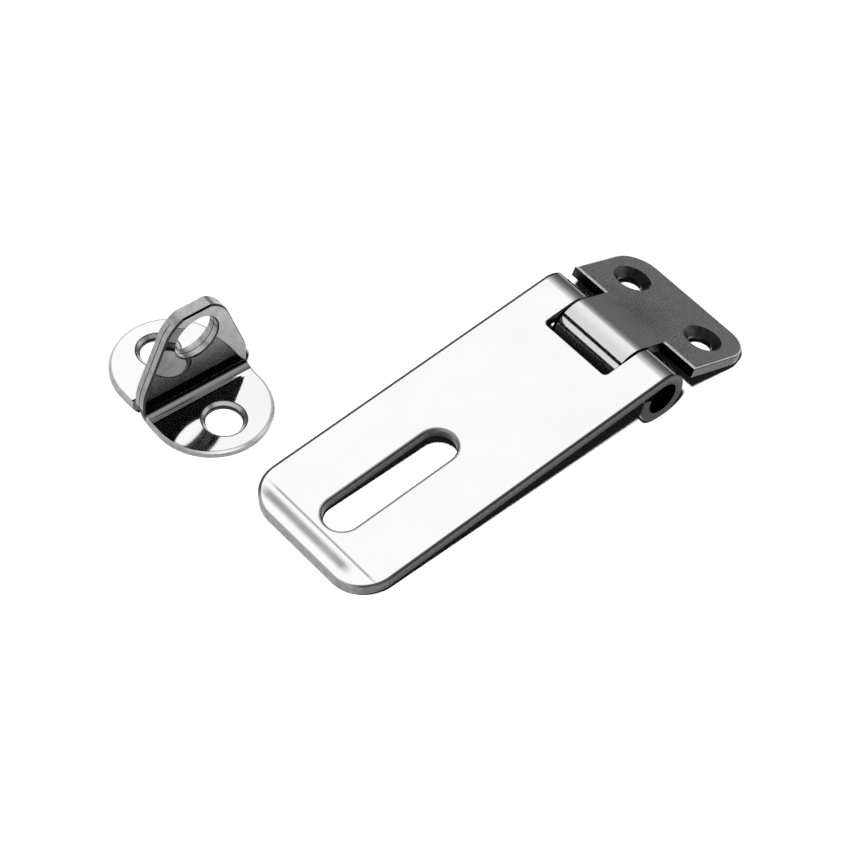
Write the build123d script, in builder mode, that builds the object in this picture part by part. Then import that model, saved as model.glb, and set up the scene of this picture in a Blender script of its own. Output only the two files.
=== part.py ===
from build123d import *
import os
from math import asin, atan2, cos, degrees, hypot, radians, sin, sqrt, tan

os.makedirs("parts", exist_ok=True)

# Sheet and hinge
sheet = 2.4
hasp_width = 40.0
barrel_radius = 6.5
bore_radius = barrel_radius - sheet
curl_end_angle = 32.0
edge_break = 0.3

# Hinge pin
pin_running_gap = 0.05
pin_radius = bore_radius - pin_running_gap
pin_recess = 3.0
pin_length = hasp_width - 2 * pin_recess
pin_end_break = 0.5

# Fixing leaf, measured from the hinge axis
leaf_reach = 29.7
leaf_corner = 7.3
ear_clearance = 1.2
ear_start = barrel_radius + ear_clearance
tongue_width = 19.2
leaf_hole_edge_distance = 10.0
leaf_hole_side_distance = 8.2
leaf_hole_radius = 3.0
leaf_sink_width = 1.75
screw_sink_angle = 90.0

# Staple
staple_sheet = 1.7
layer_gap = 0.2
face_offset = layer_gap / 2 + staple_sheet
bend_radius = 0.8
roll_radius = 6.0
roll_angle = 28.0
roll_start = face_offset + bend_radius + (roll_radius - bend_radius) * sin(
    radians(roll_angle)
)
foot_radius = 14.3
foot_centre = 7.35
foot_reach = foot_centre + foot_radius
foot_hole_centre = 12.5
foot_hole_radius = 4.25
foot_sink_width = 0.95
eye_hole_height = 18.9
eye_hole_radius = 5.8
eye_wall = 3.4
eye_head_radius = eye_hole_radius + eye_wall
eye_side_lean = 21.0
eye_shoulder_radius = 12.0
crest_drop = 0.8
eye_edge_break = 0.4
eye_top = eye_hole_height + eye_head_radius - crest_drop

# Strap, measured from the hinge axis
strap_reach = 89.5
strap_corner = 9.0
lip_length = 5.7
lip_start = strap_reach - lip_length
lip_radius = 26.0
slot_side_room = 2.8
slot_end_room = 3.9
slot_width = 2 * (face_offset + slot_side_room)
slot_length = 2 * (foot_radius + slot_end_room)
slot_end_distance = 7.7
slot_middle = strap_reach - slot_end_distance - slot_length / 2
window_end_clearance = 2.3
window_depth = barrel_radius + window_end_clearance
window_side_clearance = 0.45
window_width = tongue_width + 2 * window_side_clearance
window_corner = 1.0

# Places on the table
half_width = hasp_width / 2
hinge_x = 31.74
hinge_y = -26.4
staple_from_hinge = 78.9
staple_from_strap = 9.5
staple_x = hinge_x - staple_from_hinge
staple_y = hinge_y + half_width + staple_from_strap + foot_reach
staple_turn = -2.2


# Slope about the hinge axis that sets the underside corner of a plate on the table
def resting_tilt(reach, height):
    return degrees(asin(barrel_radius / hypot(reach, height)) + atan2(height, reach))


# Strap drawn flat, hinge axis at the origin: knuckle, plate and softly lowered free end
curl_sweep = 270 + curl_end_angle
lip_sweep = degrees(asin((lip_length + sheet) / lip_radius))
lip_centre = (-lip_start, barrel_radius - lip_radius)
lip_end_height = lip_centre[1] + sqrt((lip_radius - sheet) ** 2 - lip_length**2)
with BuildPart() as strap_flat:
    with BuildSketch(Plane.XZ.offset(-half_width)):
        with BuildLine():
            Line((-lip_start, barrel_radius), (0, barrel_radius))
            curl_outside = CenterArc((0, 0), barrel_radius, 90, -curl_sweep)
            curl_inside = CenterArc((0, 0), bore_radius, 90, -curl_sweep)
            Line(curl_outside @ 1, curl_inside @ 1)
            Line((0, bore_radius), (-lip_start, bore_radius))
            lip_bottom = CenterArc(lip_centre, lip_radius - sheet, 90, lip_sweep)
            lip_top = CenterArc(lip_centre, lip_radius, 90, lip_sweep)
            Line(lip_bottom @ 1, lip_top @ 1)
        make_face()
    extrude(amount=hasp_width)
    # Rounded free end
    with BuildSketch(Plane.XY):
        with Locations((-strap_reach, 0)):
            Rectangle(
                strap_reach + barrel_radius,
                hasp_width,
                align=(Align.MIN, Align.CENTER),
            )
        fillet(vertices().group_by(Axis.X)[0], strap_corner)
    extrude(amount=barrel_radius, both=True, mode=Mode.INTERSECT)
    fillet(edges().filter_by(Axis.X).group_by(Axis.Z)[-1], edge_break)
    # Slot for the staple's eye
    with BuildSketch(Plane.XY):
        with Locations((-slot_middle, 0)):
            SlotOverall(slot_length, slot_width)
    extrude(amount=barrel_radius, mode=Mode.SUBTRACT)
    chamfer(edges(Select.LAST).group_by(Axis.Z)[-1], edge_break)
    # Window for the leaf's tongue, leaving a knuckle on each side
    with BuildSketch(Plane.XY):
        with Locations((-window_depth, 0)):
            Rectangle(
                window_depth + 2 * barrel_radius,
                window_width,
                align=(Align.MIN, Align.CENTER),
            )
        fillet(vertices().group_by(Axis.X)[0], window_corner)
    extrude(amount=2 * barrel_radius, both=True, mode=Mode.SUBTRACT)
    chamfer(edges(Select.LAST).group_by(Axis.Z)[-1], edge_break)

# Strap sloping down to its free end on the table
strap_tilt = resting_tilt(strap_reach, lip_end_height)
with BuildPart() as strap:
    with Locations(Location((hinge_x, hinge_y, barrel_radius), (0, -strap_tilt, 0))):
        add(strap_flat.part)

# Fixing leaf drawn flat: two ears and a tongue rolled round the pin
with BuildPart() as leaf_flat:
    with BuildSketch(Plane.XZ.offset(-tongue_width / 2)):
        with BuildLine():
            Line((ear_start, barrel_radius), (0, barrel_radius))
            tongue_outside = CenterArc((0, 0), barrel_radius, 90, curl_sweep)
            tongue_inside = CenterArc((0, 0), bore_radius, 90, curl_sweep)
            Line(tongue_outside @ 1, tongue_inside @ 1)
            Line((0, bore_radius), (ear_start, bore_radius))
            Line((ear_start, bore_radius), (ear_start, barrel_radius))
        make_face()
    extrude(amount=tongue_width)
    with BuildSketch(Plane.XY.offset(bore_radius)):
        with Locations((ear_start, 0)):
            Rectangle(
                leaf_reach - ear_start,
                hasp_width,
                align=(Align.MIN, Align.CENTER),
            )
        fillet(vertices().group_by(Axis.X)[-1], leaf_corner)
    extrude(amount=sheet)
    outer_sides = edges().filter_by(Axis.X).group_by(Axis.Z)[-1].group_by(Axis.Y)
    fillet(outer_sides[0] + outer_sides[-1], edge_break)
    # Countersunk screw holes
    with Locations((leaf_reach - leaf_hole_edge_distance, 0, barrel_radius)):
        with GridLocations(0, hasp_width - 2 * leaf_hole_side_distance, 1, 2):
            CounterSinkHole(
                leaf_hole_radius,
                leaf_hole_radius + leaf_sink_width,
                counter_sink_angle=screw_sink_angle,
            )

# Leaf sloping down to its far edge on the table
leaf_tilt = resting_tilt(leaf_reach, bore_radius)
with BuildPart() as fixing_leaf:
    with Locations(Location((hinge_x, hinge_y, barrel_radius), (0, leaf_tilt, 0))):
        add(leaf_flat.part)

# Hinge pin, its ends sunk below the sides of the hasp
pin_start = Plane((hinge_x, hinge_y + pin_length / 2, barrel_radius), z_dir=(0, -1, 0))
with BuildPart() as hinge_pin:
    with BuildSketch(pin_start):
        Circle(pin_radius)
    extrude(amount=pin_length)
    chamfer(edges().filter_by(GeomType.CIRCLE), pin_end_break)

# Staple: a sheet folded double, the fold pressed flat at the top of the eye, and two feet
# that roll gently into their bends
fold_centre = (0, eye_top - staple_sheet)
roll_centre = (roll_start, staple_sheet + roll_radius)
bend_centre = (
    face_offset + bend_radius,
    roll_centre[1] - (roll_radius - bend_radius) * cos(radians(roll_angle)),
)
bend_angle = 90 - roll_angle
with BuildPart() as staple_square:
    with BuildSketch(Plane.YZ.offset(-foot_radius)):
        with BuildLine():
            under_roll_radius = roll_radius + staple_sheet
            under_bend_radius = bend_radius + staple_sheet
            under_roll = CenterArc(roll_centre, under_roll_radius, 270, -roll_angle)
            under_bend = CenterArc(
                bend_centre, under_bend_radius, 270 - roll_angle, -bend_angle
            )
            over_roll = CenterArc(roll_centre, roll_radius, 270, -roll_angle)
            over_bend = CenterArc(
                bend_centre, bend_radius, 270 - roll_angle, -bend_angle
            )
            fold_inside = CenterArc(fold_centre, layer_gap / 2, 0, 90)
            Line((foot_reach, 0), under_roll @ 0)
            Line(under_bend @ 1, fold_inside @ 0)
            Line(fold_inside @ 1, (0, eye_top))
            Line((0, eye_top), (face_offset, eye_top))
            Line((face_offset, eye_top), over_bend @ 1)
            Line(over_roll @ 0, (foot_reach, staple_sheet))
            Line((foot_reach, staple_sheet), (foot_reach, 0))
        make_face()
        mirror(about=Plane.YZ)
    extrude(amount=2 * foot_radius)
    # Round-ended feet
    with BuildSketch(Plane.XY):
        SlotCenterToCenter(2 * foot_centre, 2 * foot_radius, rotation=90)
    extrude(amount=eye_top, mode=Mode.INTERSECT)
    # Tapered eye with a round head
    side_x = eye_head_radius * cos(radians(eye_side_lean))
    side_z = eye_hole_height + eye_head_radius * sin(radians(eye_side_lean))
    shoulder_z = side_z - (foot_radius - side_x) / tan(radians(eye_side_lean))
    with BuildSketch(Plane.XZ):
        with Locations((0, shoulder_z / 2)):
            Rectangle(2 * foot_radius, shoulder_z)
        Polygon(
            (foot_radius, shoulder_z),
            (side_x, side_z),
            (-side_x, side_z),
            (-foot_radius, shoulder_z),
            align=None,
        )
        fillet(vertices().group_by(Axis.Y)[1], eye_shoulder_radius)
        with Locations((0, eye_hole_height)):
            Circle(eye_head_radius)
    extrude(amount=foot_reach, both=True, mode=Mode.INTERSECT)
    # Broken edges round the eye's two faces and down onto the feet, the bend lines left out
    eye_faces = faces().filter_by(Axis.Y).group_by(Axis.Y)
    eye_rims = eye_faces[0].edges() + eye_faces[-1].edges()
    chamfer(eye_rims.sort_by(Axis.Z)[2:], eye_edge_break)
    # Padlock hole through both layers
    with BuildSketch(Plane.XZ):
        with Locations((0, eye_hole_height)):
            Circle(eye_hole_radius)
    extrude(amount=2 * face_offset, both=True, mode=Mode.SUBTRACT)
    eye_hole_rims = edges(Select.LAST).filter_by(GeomType.CIRCLE).group_by(Axis.Y)
    chamfer(eye_hole_rims[0] + eye_hole_rims[-1], edge_break)
    # Screw hole in each foot
    with Locations((0, 0, staple_sheet)):
        with GridLocations(0, 2 * foot_hole_centre, 1, 2):
            CounterSinkHole(
                foot_hole_radius,
                foot_hole_radius + foot_sink_width,
                counter_sink_angle=screw_sink_angle,
            )

# Staple set down beside the strap
with BuildPart() as staple:
    with Locations(Location((staple_x, staple_y, 0), (0, 0, staple_turn))):
        add(staple_square.part)

strap.part.label = "strap"
export_step(strap.part, "parts/strap.step")
fixing_leaf.part.label = "fixing_leaf"
export_step(fixing_leaf.part, "parts/fixing_leaf.step")
hinge_pin.part.label = "hinge_pin"
export_step(hinge_pin.part, "parts/hinge_pin.step")
staple.part.label = "staple"
export_step(staple.part, "parts/staple.step")
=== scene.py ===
import math

import bpy
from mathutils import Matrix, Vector

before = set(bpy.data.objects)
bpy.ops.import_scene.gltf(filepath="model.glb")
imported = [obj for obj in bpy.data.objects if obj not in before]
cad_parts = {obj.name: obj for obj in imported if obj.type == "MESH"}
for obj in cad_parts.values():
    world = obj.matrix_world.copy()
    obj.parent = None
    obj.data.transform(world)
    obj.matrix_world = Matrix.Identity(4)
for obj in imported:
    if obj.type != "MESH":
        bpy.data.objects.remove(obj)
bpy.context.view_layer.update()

# Camera: pixels, millimetres on the sensor, metres and degrees
PHOTO_SIDE = 850.0
FOCAL_PIXELS = 3324.216
SENSOR = 36.0
CAMERA_PLACE = (-0.3618341, -0.3561778, 0.5670595)
CAMERA_TURN = (40.55347, -4.09473, -40.99475)
CLIP_START = 0.01
CLIP_END = 20.0

# Places and slopes of the pieces' own frames, in metres and degrees
HINGE = (0.03174, -0.0264, 0.0065)
STAPLE = (-0.04716, 0.02475, 0.0)
STRAP_TILT = 6.338
LEAF_TILT = 20.381
STAPLE_TURN = -2.2

# Room, in metres, watts and greys
FLOOR_SIDE = 4.0
FLOOR_SEEN = 1.16
FLOOR_BOUNCE = 0.04
WORLD_WHITE = 1.0
WORLD_FILL = 0.01
KEY_PLACE = (-0.63, -0.40, 1.4)
KEY_SIZE = 0.12
KEY_WATTS = 32.0

# Studio cards: centre, half vector to the side and half vector to the top
CARD_RIGHT = ((0.75, 0.36, 0.75), (-0.33, 0.62, 0.0), (0.0, 0.0, 0.75))
CARD_BACK = ((0.25, 0.80, 0.20), (-0.35, 0.05, 0.0), (0.0, 0.0, 0.20))
CARD_CEILING = ((0.50, -0.075, 1.0), (0.30, 0.0, 0.0), (0.0, 0.325, 0.0))
CARD_LEFT = ((-0.56, 0.33, 0.65), (-0.10, -0.30, 0.0), (0.06, 0.0, 0.09))

# Cards that face the staple: its distance, then shift along it, half width, middle and half height
NEAR_GAP = 0.4018
CARD_NEAR = (0.38, 0.20, 0.65, 0.27)
CARD_NEAR_LOW = (0.22, 0.085, 0.19, 0.19)

# What the cards show: greys by elevation in degrees, by azimuth, by height and by y in the room
RIGHT_GREYS = ((12, 0.130), (15, 0.135), (17, 0.165), (24, 0.25), (31, 0.35), (35, 0.50),
               (38, 0.69), (41, 0.84), (44, 0.92), (50, 0.96), (56, 0.985), (60, 1.0))
RIGHT_WHITE_FROM = (51.0, 56.0)
STRIP_FOOT = (0.523, 0.525)
STRIP_HEAD = (0.5606, 0.5600)
CEILING_SPAN = (-0.40, 0.25)
CEILING_GREYS = ((0.0, 0.40), (0.6, 0.20), (1.0, 0.03))
NEAR_BLACK = 0.005
BACK_GREY = 0.05
LEFT_GREY = 0.01

# Metal
STEEL = 0.93
BRIGHT_STEEL = 0.97
# The knuckles' bore is painted near black as shade
BORE_SHADE_GREY = 0.01
NOISE_SPAN = (0.3, 0.7)
GRAIN_SCALE = 900.0
FINE_DETAIL = 3.0
BLOTCH_DETAIL = 4.0
SHEET_BUMP = 0.000005
STAPLE_BUMP = 0.000001
PIN_BUMP = 0.00002

# Below, a pair says where a mask or a shade begins and where it is full, in metres of the piece's own
# frame. The strap and the leaf have the pin's axis at x = z = 0 there. A pair named NORMAL is about a
# part of the normal, and one named DEPTH, GREY or ROUGHNESS holds values.
BORE = (0.0043, 0.0042)
CUT_SIDE_NORMAL = (0.35, 0.6)
CUT_END_NORMAL = (0.6, 0.35)

# Strap
STRAP_CORNER_X = -0.0805
STRAP_CORNER_Y = 0.011
STRAP_CORNER_RADIUS = 0.009
STRAP_CUT = (-0.0075, -0.0085)
STRAP_PLATE = (-0.004, -0.009)
# The dark lines along the plate's outline and its slot are painted reflections of their rounded edges
STRAP_REFLECTION_LINE = (-0.0008, -0.0006)
STRAP_REFLECTION_LINE_FADE = (-0.0885, -0.0865)
STRAP_REFLECTION_LINE_DEPTH = (0.6, 0.92)
SLOT_X = -0.0636
SLOT_HALF = 0.0136
SLOT_RADIUS = 0.0046
SLOT_REFLECTION_LINE = (0.0008, 0.0005)
SLOT_REFLECTION_LINE_DEPTH = 0.75
# A painted reflection: the darker band along the bent end
LIP_REFLECTION_X = -0.0860
LIP_REFLECTION_Y = 0.0024
LIP_REFLECTION_SIDE = (0.0014, 0.0004)
LIP_REFLECTION_END = (0.0155, 0.0125)
LIP_REFLECTION_DEPTH = (0.68, 0.56)
# The crease is a bump, and its colour is also darkened as painted shade
CREASE_X = -0.08365
CREASE_Y = -0.001
CREASE_HALF = 0.00045
CREASE_END = (0.0190, 0.0150)
CREASE_SHADE_DEPTH = 0.66
# Painted reflection and shade over the knuckles, by which way they face
KNUCKLE_REFLECTION_NORMAL = (0.03, 0.72)
KNUCKLE_REFLECTION_GREYS = ((0.0, 1.0), (0.142, 0.5), (0.316, 0.5), (0.461, 0.62), (0.645, 0.72), (0.688, 0.65),
               (0.772, 0.28), (0.855, 0.10), (1.0, 0.03))
KNUCKLES = (-0.004, -0.002)
# Spans of the painted shade on the sheared edges, low down and near the bore
UNDERCUT = (-0.003, 0.004)
KNUCKLE_REACH = (0.0040, 0.0066)
LIP = (-0.080, -0.0885)
STRAP_BLOTCH_SCALE = 120.0
STRAP_BLOTCH_DEPTH = (0.98, 1.0)
# The sheared edges' grey: their dull finish, made darker still as painted shade
STRAP_CUT_AND_SHADE_GREY = (0.02, 0.04)
STRAP_CUT_ROUGHNESS = 0.38
STRAP_ROUGHNESS = (0.09, 0.17)
STRAP_GRAIN_ROUGHNESS = (-0.02, 0.02)
# Painted shade low down and near the bore, and painted light out on the knuckles and on the lip
UNDERCUT_SHADE_DEPTH = (0.1, 1.0)
KNUCKLE_LIGHT_AND_SHADE_DEPTH = (0.1, 2.6)
LIP_LIGHT_DEPTH = 6.0

# Leaf
LEAF_CORNER_X = 0.0224
LEAF_CORNER_Y = 0.0127
LEAF_CORNER_RADIUS = 0.0073
LEAF_HOLE_X = 0.0197
LEAF_HOLE_Y = 0.0118
LEAF_SINK = (0.0049, 0.0048)
LEAF_SINK_NORMAL = (0.97, 0.9)
LEAF_CUT = (0.0068, 0.0072)
LEAF_FLAT = (0.003, 0.009)
LEAF_RIM = (-0.0005, -0.0003)
LEAF_FRONT = (0.0088, 0.0084)
LEAF_EARS = (0.0096, 0.0098)
# A darker cloud on the top, between the ears
DARK_CLOUD_PLACE = (0.011, 0.0, 0.0065)
DARK_CLOUD = (0.009, 0.001)
SPECKLE_SCALE = 2600.0
SPECKLE_SPAN = (0.32, 0.68)
# Painted shade under the rolled tongue, and a painted reflection that darkens its crest
TONGUE_UNDER_NORMAL = (0.25, 0.12)
TONGUE_UNDER = (0.004, 0.002)
CREST_NORMAL = (-0.30, -0.66)
LONG_SIDE_NORMAL = (0.5, 0.8)
LEAF_BLOTCH_SCALE = 260.0
LEAF_BLOTCH_DEPTH = (0.90, 1.10)
# The cut edges' grey: their dull finish, made darker still as painted shade
LEAF_CUT_AND_SHADE_GREY = (0.02, 0.045)
LEAF_CUT_ROUGHNESS = 0.35
LEAF_ROUGHNESS = (0.08, 0.13)
LEAF_GRAIN_ROUGHNESS = (-0.02, 0.03)
# The top is paler towards the long sides and the far end
TOP_SIDE_FADE = (0.004, 0.018)
TOP_SIDE_FADE_DEPTH = (0.95, 1.06)
TOP_LENGTH_FADE = (0.010, 0.028)
TOP_LENGTH_FADE_DEPTH = (0.92, 1.08)
SPECKLE_DEPTH = (0.64, 1.34)
DARK_CLOUD_DEPTH = (1.0, 0.80)
CREST_REFLECTION_DEPTH = (0.98, 0.73)
TONGUE_UNDER_SHADE_DEPTH = 0.06
TONGUE_UNDER_ROUGHNESS = 0.35
# Painted light: the leaf's long cut sides paler than its ends
LONG_SIDE_LIGHT_DEPTH = 2.4
# The countersinks are painted near black as shade
LEAF_SINK_SHADE_GREY = (0.006, 0.024)
LEAF_RIM_ROUGHNESS = 0.5

# Staple
STAPLE_HOLE_Y = 0.0125
STAPLE_SINK = (0.00545, 0.00535)
STAPLE_RING = (0.0042, 0.0056)
# Painted highlight and shade in the countersinks: dark, with a paler band partway down
STAPLE_SINK_LIGHT_GREYS = ((0.0, 0.02), (0.14, 0.03), (0.25, 0.5), (0.6, 0.5), (0.75, 0.04), (1.0, 0.04))
FOOT_CORNER_Y = 0.00735
FOOT_RADIUS = 0.0143
# A painted reflection: the dark line along the feet's rounded outline
FOOT_REFLECTION_LINE = (-0.0008, -0.0006)
FOOT_GLEAM = (-0.0007, -0.0006)
FOOT_TOP = (0.0025, 0.0022)
EYE_HEIGHT = 0.0189
EYE_RADIUS = (0.0061, 0.0059)
EYE_FOOT = (0.0030, 0.0034)
EYE_CROWN = (0.008, 0.009)
BEND_SIDE = (0.0027, 0.0023)
BEND_TOP = (0.0036, 0.0032)
UPRIGHT_NORMAL = (0.90, 0.99)
WALL_NORMAL = (0.6, 0.4)
EYE_SIDE_NORMAL = (0.3, 0.6)
EYE_CROWN_NORMAL = (0.6, 0.5)
BEVEL_START_NORMAL = (0.5, 0.6)
BEVEL_END_NORMAL = (0.95, 0.85)
EYE_ROOF_NORMAL = (-0.1, -0.5)
FOOT_TOP_NORMAL = (0.9, 0.95)
GLEAM_START_NORMAL = (0.4, 0.5)
GLEAM_END_NORMAL = (0.95, 0.90)
STAPLE_BLOTCH_SCALE = 300.0
STAPLE_BLOTCH_DEPTH = (0.97, 1.0)
FOOT_REFLECTION_LINE_DEPTH = 0.5
# Painted reflection: the eye's upright faces dark grey, paler towards the top and the +x end
EYE_FACE_REFLECTION_GREY = (0.12, 0.17)
EYE_FACE_REFLECTION_SPAN = (0.008, 0.030)
EYE_FACE_REFLECTION_DEPTH = (1.0, 2.2)
# The cut edges' dull grey, with painted light making those that face up paler
STAPLE_CUT_GREY = (0.18, 0.26)
UPWARD_LIGHT_NORMAL = (0.3, 0.9)
UPWARD_LIGHT_DEPTH = (1.0, 2.2)
# Painted shade and reflection on the eye's rounded edges, the bend at its foot and the roof of its hole
STAPLE_SHADE_GREY = 0.03
STAPLE_ROUGHNESS = (0.06, 0.03)
STAPLE_BLOTCH_ROUGHNESS = (0.0, 0.01)
STAPLE_EDGE_ROUGHNESS = 0.3
GLEAM_ROUGHNESS = 0.35

# Pin
# The pin is painted nearly black as shade inside the knuckles
PIN_SHADE_GREY = (0.004, 0.012)
PIN_ROUGHNESS = 0.5


def link(obj):
    bpy.context.scene.collection.objects.link(obj)
    return obj


class Nodes:
    """Adds shader nodes to one tree and links them."""

    def __init__(self, tree):
        self.tree = tree

    def add(self, kind, inputs=None, **settings):
        node = self.tree.nodes.new("ShaderNode" + kind)
        for name, value in settings.items():
            setattr(node, name, value)
        for name, value in (inputs or {}).items():
            if isinstance(value, bpy.types.NodeSocket):
                self.tree.links.new(value, node.inputs[name])
            else:
                node.inputs[name].default_value = value
        return node

    def math(self, operation, *values):
        return self.add("Math", dict(enumerate(values)), operation=operation).outputs[0]

    def total(self, first, *others):
        for other in others:
            first = self.math("ADD", first, other)
        return first

    def times(self, first, *others):
        for other in others:
            first = self.math("MULTIPLY", first, other)
        return first

    def less(self, first, second):
        return self.math("SUBTRACT", first, second)

    def larger(self, first, second):
        return self.math("MAXIMUM", first, second)

    def size(self, value):
        return self.math("ABSOLUTE", value)

    def away(self, value, place):
        """Distance of a value from a place, either way."""
        return self.size(self.less(value, place))

    def length(self, a, b):
        return self.math("SQRT", self.total(self.times(a, a), self.times(b, b)))

    def between(self, value, low, high, at_low, at_high):
        node = self.add("MapRange", {"Value": value, "From Min": low, "From Max": high,
                                     "To Min": at_low, "To Max": at_high}, clamp=True)
        return node.outputs["Result"]

    def rise(self, value, low, high):
        """0 below low, 1 above high and a straight line between; falls where high is the smaller."""
        return self.between(value, low, high, 0.0, 1.0)

    def vary(self, noise, at_low, at_high):
        """Spreads noise over the given values."""
        return self.between(noise, *NOISE_SPAN, at_low, at_high)

    def darken(self, mask, depth):
        """A factor that takes the given share off where the mask is 1."""
        return self.less(1.0, self.times(mask, depth))

    def mix(self, factor, first, second):
        node = self.add("Mix", {"Factor": factor, "A": first, "B": second}, data_type="FLOAT")
        return node.outputs["Result"]

    def split(self, vector):
        return self.add("SeparateXYZ", {0: vector}).outputs

    def ramp(self, value, stops):
        """Greys along a value, from (place, grey) pairs."""
        node = self.add("ValToRGB", {"Fac": value})
        node.color_ramp.interpolation = "LINEAR"
        elements = node.color_ramp.elements
        while len(elements) < len(stops):
            elements.new(0.5)
        for element, (place, grey) in zip(elements, stops):
            element.position = place
            element.color = (grey, grey, grey, 1.0)
        return node.outputs["Color"]

    def noise(self, vector, scale, detail=FINE_DETAIL):
        """Noise around 0.5 with the given number of features in a metre."""
        return self.add("TexNoise", {"Vector": vector, "Scale": scale, "Detail": detail}).outputs["Fac"]

    def surface(self, shader):
        self.add("OutputMaterial", {"Surface": shader.outputs[0]})


def new_material(name):
    material = bpy.data.materials.new(name)
    material.use_nodes = True
    material.node_tree.nodes.clear()
    return material, Nodes(material.node_tree)


def make_camera():
    data = bpy.data.cameras.new("camera")
    data.sensor_width = SENSOR
    data.sensor_fit = "AUTO"
    data.lens = FOCAL_PIXELS * SENSOR / PHOTO_SIDE
    data.clip_start = CLIP_START
    data.clip_end = CLIP_END
    camera = link(bpy.data.objects.new("camera", data))
    camera.location = CAMERA_PLACE
    camera.rotation_euler = [math.radians(a) for a in CAMERA_TURN]
    bpy.context.scene.camera = camera


def quad(name, centre, across, up):
    """A flat card: its centre and the half vectors to its side and its top."""
    c, a, u = Vector(centre), Vector(across), Vector(up)
    mesh = bpy.data.meshes.new(name)
    mesh.from_pydata([c - a - u, c + a - u, c + a + u, c - a + u], [], [(0, 1, 2, 3)])
    mesh.update()
    return link(bpy.data.objects.new(name, mesh))


def seen_directly(nodes):
    """1 for camera, glossy and transmission rays, 0 for diffuse ones and all that come after them."""
    path = nodes.add("LightPath").outputs
    seen = nodes.larger(path["Is Camera Ray"], path["Is Glossy Ray"])
    seen = nodes.larger(seen, path["Is Transmission Ray"])
    return nodes.times(seen, nodes.rise(path["Diffuse Depth"], 1.0, 0.0))


def make_world():
    world = bpy.data.worlds.new("studio")
    world.use_nodes = True
    bpy.context.scene.world = world
    world.node_tree.nodes.clear()
    nodes = Nodes(world.node_tree)
    strength = nodes.mix(seen_directly(nodes), WORLD_FILL, WORLD_WHITE)
    background = nodes.add("Background", {"Color": (1.0, 1.0, 1.0, 1.0), "Strength": strength})
    nodes.add("OutputWorld", {"Surface": background.outputs[0]})


def make_floor():
    half = FLOOR_SIDE / 2
    floor = quad("floor", (0, 0, 0), (half, 0, 0), (0, half, 0))
    material, nodes = new_material("floor")
    colour = nodes.mix(seen_directly(nodes), FLOOR_BOUNCE, FLOOR_SEEN)
    nodes.surface(nodes.add("BsdfDiffuse", {"Color": colour}))
    floor.data.materials.append(material)


def make_key():
    data = bpy.data.lights.new("key", "AREA")
    data.shape = "SQUARE"
    data.size = KEY_SIZE
    data.energy = KEY_WATTS
    key = link(bpy.data.objects.new("key", data))
    key.location = KEY_PLACE
    key.rotation_euler = (-Vector(KEY_PLACE)).to_track_quat("-Z", "Y").to_euler()
    key.visible_glossy = False


def card(name, centre, across, up, brightness):
    """A studio card that only reflections show. brightness makes its grey from its points in the room."""
    obj = quad(name, centre, across, up)
    material, nodes = new_material(name)
    point = nodes.add("TexCoord").outputs["Object"]
    nodes.surface(nodes.add("Emission", {"Color": brightness(nodes, point)}))
    obj.data.materials.append(material)
    obj.visible_camera = False
    obj.visible_diffuse = False
    obj.visible_shadow = False
    obj.visible_transmission = False


def staple_card(name, shift, half_width, middle, half_height, brightness):
    """A card that faces the staple from the near side, shifted along it."""
    turn = math.radians(STAPLE_TURN)
    ahead = Vector((math.sin(turn), -math.cos(turn), 0.0))
    along = Vector((math.cos(turn), math.sin(turn), 0.0))
    centre = Vector(STAPLE) + NEAR_GAP * ahead + shift * along + Vector((0, 0, middle))
    card(name, centre, half_width * along, (0.0, 0.0, half_height), brightness)


def plain(grey):
    return lambda nodes, point: (grey, grey, grey, 1.0)


def direction_from_hinge(nodes, point):
    """Azimuth from +X and elevation, both in degrees, of a point as the hinge sees it."""
    way = nodes.add("VectorMath", {0: point, 1: HINGE}, operation="SUBTRACT").outputs[0]
    x, y, z = nodes.split(way)
    azimuth = nodes.math("DEGREES", nodes.math("ARCTAN2", y, x))
    elevation = nodes.math("DEGREES", nodes.math("ARCTAN2", z, nodes.length(x, y)))
    return azimuth, elevation


def right_card_grey(nodes, point):
    """Dark near the floor, paler towards the top, white past the strap's far side."""
    azimuth, elevation = direction_from_hinge(nodes, point)
    upward = nodes.ramp(nodes.rise(elevation, 0.0, 90.0), [(el / 90.0, grey) for el, grey in RIGHT_GREYS])
    return nodes.larger(upward, nodes.rise(azimuth, *RIGHT_WHITE_FROM))


def near_card_grey(nodes, point):
    """Black with one white strip, which the staple's corner shows twice mirrored."""
    height = nodes.split(point)[2]
    strip = nodes.times(nodes.rise(height, *STRIP_FOOT), nodes.rise(height, *STRIP_HEAD))
    return nodes.mix(strip, NEAR_BLACK, 1.0)


def ceiling_card_grey(nodes, point):
    """Palest over the near side."""
    return nodes.ramp(nodes.rise(nodes.split(point)[1], *CEILING_SPAN), CEILING_GREYS)


def make_cards():
    card("card_right", *CARD_RIGHT, right_card_grey)
    card("card_back", *CARD_BACK, plain(BACK_GREY))
    # The upper card makes the black image on the near foot, the lower one the black band on the eye
    staple_card("card_near", *CARD_NEAR, near_card_grey)
    staple_card("card_near_low", *CARD_NEAR_LOW, plain(NEAR_BLACK))
    card("card_ceiling", *CARD_CEILING, ceiling_card_grey)
    card("card_left", *CARD_LEFT, plain(LEFT_GREY))


def own_frame(nodes, place, turn):
    """A piece's points and normals along its own length, width and thickness, in metres."""
    source = nodes.add("TexCoord").outputs
    turn = [math.radians(a) for a in turn]
    point = nodes.add("Mapping", {"Vector": source["Object"], "Location": place, "Rotation": turn},
                      vector_type="TEXTURE").outputs[0]
    normal = nodes.add("Mapping", {"Vector": source["Normal"], "Rotation": turn},
                       vector_type="TEXTURE").outputs[0]
    return point, nodes.split(normal)


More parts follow.
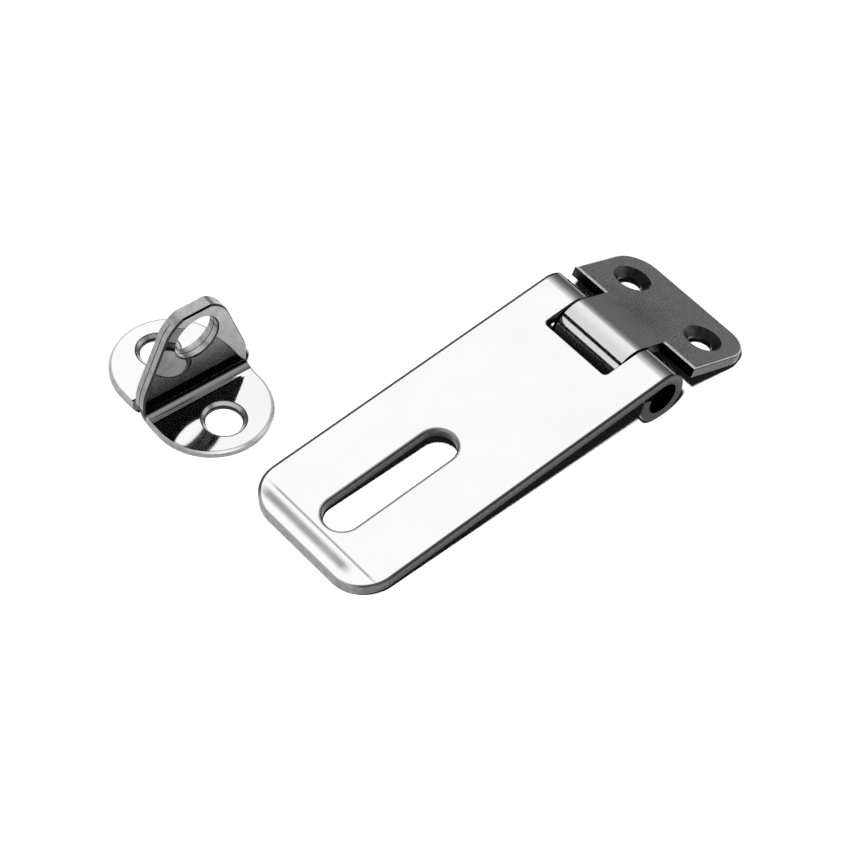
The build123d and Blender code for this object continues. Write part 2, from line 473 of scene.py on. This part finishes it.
def steel(nodes, colour, roughness, height, depth):
    bump = nodes.add("Bump", {"Height": height, "Distance": depth})
    nodes.surface(nodes.add("BsdfPrincipled", {"Base Color": colour, "Roughness": roughness,
                                               "Metallic": 1.0, "Normal": bump.outputs[0]}))


def cut_mask(nodes, normal, beyond):
    """1 on the sheet's sheared edges: its long sides and, beyond the barrel, its ends."""
    side = nodes.rise(nodes.size(normal[1]), *CUT_SIDE_NORMAL)
    end = nodes.rise(nodes.size(normal[2]), *CUT_END_NORMAL)
    return nodes.larger(side, nodes.times(end, beyond))


def bore_mask(nodes, x, z):
    """1 inside the knuckles' bore, which is painted near black as shade."""
    return nodes.rise(nodes.length(x, z), *BORE)


def past_corner(nodes, across, along, radius):
    """Distance outside a rounded corner, from the distances past its centre each way."""
    return nodes.less(nodes.length(nodes.larger(across, 0.0), nodes.larger(along, 0.0)), radius)


def hole_reach(nodes, x, y, hole_x, hole_y):
    """Distance from the axis of the nearer of two holes."""
    return nodes.length(nodes.less(x, hole_x), nodes.less(nodes.size(y), hole_y))


def strap_marks(nodes, x, y, blotch):
    """The factors of the plate's three painted dark marks, which stand for reflection and shade, and the
    crease's mask.
    """
    side = nodes.size(y)
    # A painted reflection of the rounded edges: a dark line along the plate's outline and round its slot
    outline = past_corner(nodes, nodes.less(STRAP_CORNER_X, x), nodes.less(side, STRAP_CORNER_Y),
                          STRAP_CORNER_RADIUS)
    slot = past_corner(nodes, nodes.less(nodes.away(x, SLOT_X), SLOT_HALF), side, SLOT_RADIUS)
    outline = nodes.times(nodes.rise(outline, *STRAP_REFLECTION_LINE),
                          nodes.between(x, *STRAP_REFLECTION_LINE_FADE, *STRAP_REFLECTION_LINE_DEPTH))
    rim = nodes.larger(outline, nodes.times(nodes.rise(slot, *SLOT_REFLECTION_LINE), SLOT_REFLECTION_LINE_DEPTH))
    # A painted reflection: a darker band along the bent end
    lip_reflection = nodes.times(nodes.rise(nodes.away(x, LIP_REFLECTION_X), *LIP_REFLECTION_SIDE),
                       nodes.rise(nodes.away(y, LIP_REFLECTION_Y), *LIP_REFLECTION_END))
    # The crease where the free end bends down: a bump, and painted shade that darkens it
    crease = nodes.times(nodes.rise(nodes.away(x, CREASE_X), CREASE_HALF, 0.0),
                         nodes.rise(nodes.away(y, CREASE_Y), *CREASE_END))
    factors = (nodes.darken(crease, CREASE_SHADE_DEPTH), nodes.less(1.0, rim),
               nodes.darken(lip_reflection, nodes.vary(blotch, *LIP_REFLECTION_DEPTH)))
    return factors, crease


def strap_sheared(nodes, x, z, grain):
    """Grey of the strap's sheared edges: their dull finish with painted shade, darker low down, and painted
    light, paler out on the knuckles and on the lip.
    """
    depth = nodes.length(nodes.larger(x, 0.0), z)
    knuckles = nodes.between(depth, *KNUCKLE_REACH, *KNUCKLE_LIGHT_AND_SHADE_DEPTH)
    return nodes.times(nodes.vary(grain, *STRAP_CUT_AND_SHADE_GREY), nodes.between(z, *UNDERCUT, *UNDERCUT_SHADE_DEPTH),
                       nodes.mix(nodes.rise(x, *LIP), knuckles, LIP_LIGHT_DEPTH))


def strap_material():
    material, nodes = new_material("strap_steel")
    point, normal = own_frame(nodes, HINGE, (0.0, -STRAP_TILT, 0.0))
    x, y, z = nodes.split(point)
    grain = nodes.noise(point, GRAIN_SCALE)
    blotch = nodes.noise(point, STRAP_BLOTCH_SCALE)
    cut = cut_mask(nodes, normal, nodes.rise(x, *STRAP_CUT))
    marks, crease = strap_marks(nodes, x, y, blotch)
    # Painted reflection and shade over the knuckles' crown, by which way it faces
    crown = nodes.ramp(nodes.rise(normal[0], *KNUCKLE_REFLECTION_NORMAL), KNUCKLE_REFLECTION_GREYS)
    crown = nodes.mix(nodes.rise(x, *KNUCKLES), 1.0, crown)
    face = nodes.times(BRIGHT_STEEL, crown, nodes.vary(blotch, *STRAP_BLOTCH_DEPTH), *marks)
    colour = nodes.mix(cut, face, strap_sheared(nodes, x, z, grain))
    # Painted shade: the bore near black
    colour = nodes.mix(bore_mask(nodes, x, z), colour, BORE_SHADE_GREY)
    satin = nodes.total(nodes.mix(nodes.rise(x, *STRAP_PLATE), *STRAP_ROUGHNESS),
                        nodes.vary(grain, *STRAP_GRAIN_ROUGHNESS))
    roughness = nodes.mix(cut, satin, STRAP_CUT_ROUGHNESS)
    steel(nodes, colour, roughness, nodes.less(grain, crease), SHEET_BUMP)
    return material


def leaf_material():
    material, nodes = new_material("leaf_steel")
    point, normal = own_frame(nodes, HINGE, (0.0, LEAF_TILT, 0.0))
    x, y, z = nodes.split(point)
    side = nodes.size(y)
    grain = nodes.noise(point, GRAIN_SCALE)
    speckle = nodes.noise(point, SPECKLE_SCALE)
    blotch = nodes.noise(point, LEAF_BLOTCH_SCALE, BLOTCH_DETAIL)
    cut = cut_mask(nodes, normal, nodes.rise(x, *LEAF_CUT))
    sink = nodes.times(nodes.rise(hole_reach(nodes, x, y, LEAF_HOLE_X, LEAF_HOLE_Y), *LEAF_SINK),
                       nodes.rise(normal[2], *LEAF_SINK_NORMAL))
    flat = nodes.rise(x, *LEAF_FLAT)
    # Speckled top, paler towards the long sides and the far end, with a darker cloud between the ears
    dark_cloud = nodes.add("VectorMath", {0: point, 1: DARK_CLOUD_PLACE}, operation="DISTANCE").outputs["Value"]
    top_tone = nodes.times(nodes.between(side, *TOP_SIDE_FADE, *TOP_SIDE_FADE_DEPTH),
                       nodes.between(x, *TOP_LENGTH_FADE, *TOP_LENGTH_FADE_DEPTH),
                       nodes.between(speckle, *SPECKLE_SPAN, *SPECKLE_DEPTH),
                       nodes.vary(blotch, *LEAF_BLOTCH_DEPTH),
                       nodes.between(dark_cloud, *DARK_CLOUD, *DARK_CLOUD_DEPTH))
    # Painted shade on the underside of the rolled tongue, and a painted reflection that darkens its crest
    under = nodes.times(nodes.rise(normal[2], *TONGUE_UNDER_NORMAL), nodes.rise(x, *TONGUE_UNDER))
    crest_reflection = nodes.between(normal[0], *CREST_NORMAL, *CREST_REFLECTION_DEPTH)
    face = nodes.times(STEEL, nodes.mix(flat, crest_reflection, top_tone), nodes.mix(under, 1.0, TONGUE_UNDER_SHADE_DEPTH))
    # Cut edges: a dull dark grey with painted shade, and painted light making the long sides paler than the
    # ends
    long_side = nodes.rise(nodes.size(normal[1]), *LONG_SIDE_NORMAL)
    sheared = nodes.times(nodes.vary(grain, *LEAF_CUT_AND_SHADE_GREY), nodes.mix(long_side, 1.0, LONG_SIDE_LIGHT_DEPTH))
    # The countersinks are painted near black as shade
    colour = nodes.mix(cut, nodes.mix(sink, face, nodes.vary(blotch, *LEAF_SINK_SHADE_GREY)), sheared)
    # Painted shade: the bore near black
    colour = nodes.mix(bore_mask(nodes, x, z), colour, BORE_SHADE_GREY)
    # Edges rubbed to a wider gleam
    outline = past_corner(nodes, nodes.less(x, LEAF_CORNER_X), nodes.less(side, LEAF_CORNER_Y),
                          LEAF_CORNER_RADIUS)
    front = nodes.times(nodes.rise(x, *LEAF_FRONT), nodes.rise(side, *LEAF_EARS))
    rim = nodes.larger(nodes.rise(outline, *LEAF_RIM), front)
    satin = nodes.total(nodes.mix(flat, *LEAF_ROUGHNESS), nodes.vary(grain, *LEAF_GRAIN_ROUGHNESS),
                        nodes.times(rim, LEAF_RIM_ROUGHNESS), nodes.times(under, TONGUE_UNDER_ROUGHNESS))
    roughness = nodes.mix(nodes.larger(cut, sink), satin, LEAF_CUT_ROUGHNESS)
    steel(nodes, colour, roughness, nodes.total(grain, blotch), SHEET_BUMP)
    return material


def staple_edges(nodes, x, y, z, normal):
    """Masks of the upright faces, of the cut edges all round, and of the places painted dark as shade and
    reflection.
    """
    facing = nodes.size(normal[1])
    high = nodes.rise(z, *EYE_FOOT)
    upright = nodes.times(nodes.rise(facing, *UPRIGHT_NORMAL), high)
    wall = nodes.times(nodes.rise(nodes.size(normal[2]), *WALL_NORMAL), nodes.rise(z, *FOOT_TOP))
    rim = nodes.larger(wall, nodes.rise(nodes.size(normal[0]), *EYE_SIDE_NORMAL))
    crown = nodes.times(nodes.rise(facing, *EYE_CROWN_NORMAL), nodes.rise(z, *EYE_CROWN))
    # Painted dark as shade and reflection: the eye's rounded edges, the bend at its foot and the roof of
    # its hole
    bevel = nodes.times(nodes.rise(facing, *BEVEL_START_NORMAL),
                        nodes.rise(facing, *BEVEL_END_NORMAL), high)
    bend = nodes.times(nodes.rise(nodes.size(y), *BEND_SIDE), nodes.rise(z, *BEND_TOP))
    hole = nodes.rise(nodes.length(x, nodes.less(z, EYE_HEIGHT)), *EYE_RADIUS)
    roof = nodes.times(hole, nodes.rise(normal[2], *EYE_ROOF_NORMAL))
    return upright, nodes.larger(rim, crown), nodes.larger(bevel, nodes.larger(bend, roof))


def staple_material():
    material, nodes = new_material("staple_steel")
    point, normal = own_frame(nodes, STAPLE, (0.0, 0.0, STAPLE_TURN))
    x, y, z = nodes.split(point)
    grain = nodes.noise(point, GRAIN_SCALE)
    blotch = nodes.noise(point, STAPLE_BLOTCH_SCALE, BLOTCH_DETAIL)
    upright, edge, dark = staple_edges(nodes, x, y, z, normal)
    reach = hole_reach(nodes, x, y, 0.0, STAPLE_HOLE_Y)
    sink = nodes.rise(reach, *STAPLE_SINK)
    # Painted highlight and shade in the countersinks: dark, with a paler band partway down
    sink_light_and_shade = nodes.ramp(nodes.rise(reach, *STAPLE_RING), STAPLE_SINK_LIGHT_GREYS)
    # A dark line painted along the feet's outline as a reflection of their rounded edge, and a gleam on the
    # rounding below it
    outline = past_corner(nodes, nodes.size(x), nodes.less(nodes.size(y), FOOT_CORNER_Y), FOOT_RADIUS)
    line = nodes.times(nodes.rise(outline, *FOOT_REFLECTION_LINE), nodes.rise(normal[2], *FOOT_TOP_NORMAL))
    gleam = nodes.times(nodes.rise(outline, *FOOT_GLEAM), nodes.rise(normal[2], *GLEAM_START_NORMAL),
                        nodes.rise(normal[2], *GLEAM_END_NORMAL), nodes.rise(z, *FOOT_TOP))
    foot = nodes.times(BRIGHT_STEEL, nodes.vary(blotch, *STAPLE_BLOTCH_DEPTH),
                       nodes.darken(line, FOOT_REFLECTION_LINE_DEPTH))
    # The eye's upright faces: a dark grey that is painted reflection, paler towards the top and the +x end
    face = nodes.times(nodes.vary(blotch, *EYE_FACE_REFLECTION_GREY),
                       nodes.between(nodes.total(x, z), *EYE_FACE_REFLECTION_SPAN, *EYE_FACE_REFLECTION_DEPTH))
    # Cut edges: a dull grey, with painted light making those that face up paler
    cut_edge_light = nodes.times(nodes.vary(grain, *STAPLE_CUT_GREY), nodes.between(normal[2], *UPWARD_LIGHT_NORMAL, *UPWARD_LIGHT_DEPTH))
    colour = nodes.mix(edge, nodes.mix(upright, foot, face), cut_edge_light)
    colour = nodes.mix(sink, colour, sink_light_and_shade)
    # Painted shade and reflection on the eye's rounded edges, the bend at its foot and the roof of its hole
    colour = nodes.mix(dark, colour, STAPLE_SHADE_GREY)
    satin = nodes.total(nodes.mix(upright, *STAPLE_ROUGHNESS), nodes.vary(blotch, *STAPLE_BLOTCH_ROUGHNESS))
    roughness = nodes.mix(nodes.larger(edge, sink), satin, STAPLE_EDGE_ROUGHNESS)
    roughness = nodes.mix(gleam, roughness, GLEAM_ROUGHNESS)
    steel(nodes, colour, roughness, grain, STAPLE_BUMP)
    return material


def pin_material():
    material, nodes = new_material("pin_steel")
    point = own_frame(nodes, HINGE, (0.0, 0.0, 0.0))[0]
    grain = nodes.noise(point, GRAIN_SCALE)
    # Painted nearly black as shade inside the knuckles
    steel(nodes, nodes.vary(grain, *PIN_SHADE_GREY), PIN_ROUGHNESS, grain, PIN_BUMP)
    return material


def dress(node, material):
    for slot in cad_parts[node].material_slots:
        slot.material = material


make_camera()
make_world()
make_floor()
make_cards()
make_key()
dress("strap", strap_material())
dress("fixing_leaf", leaf_material())
dress("hinge_pin", pin_material())
dress("staple", staple_material())

bpy.context.scene.view_settings.view_transform = "Standard"
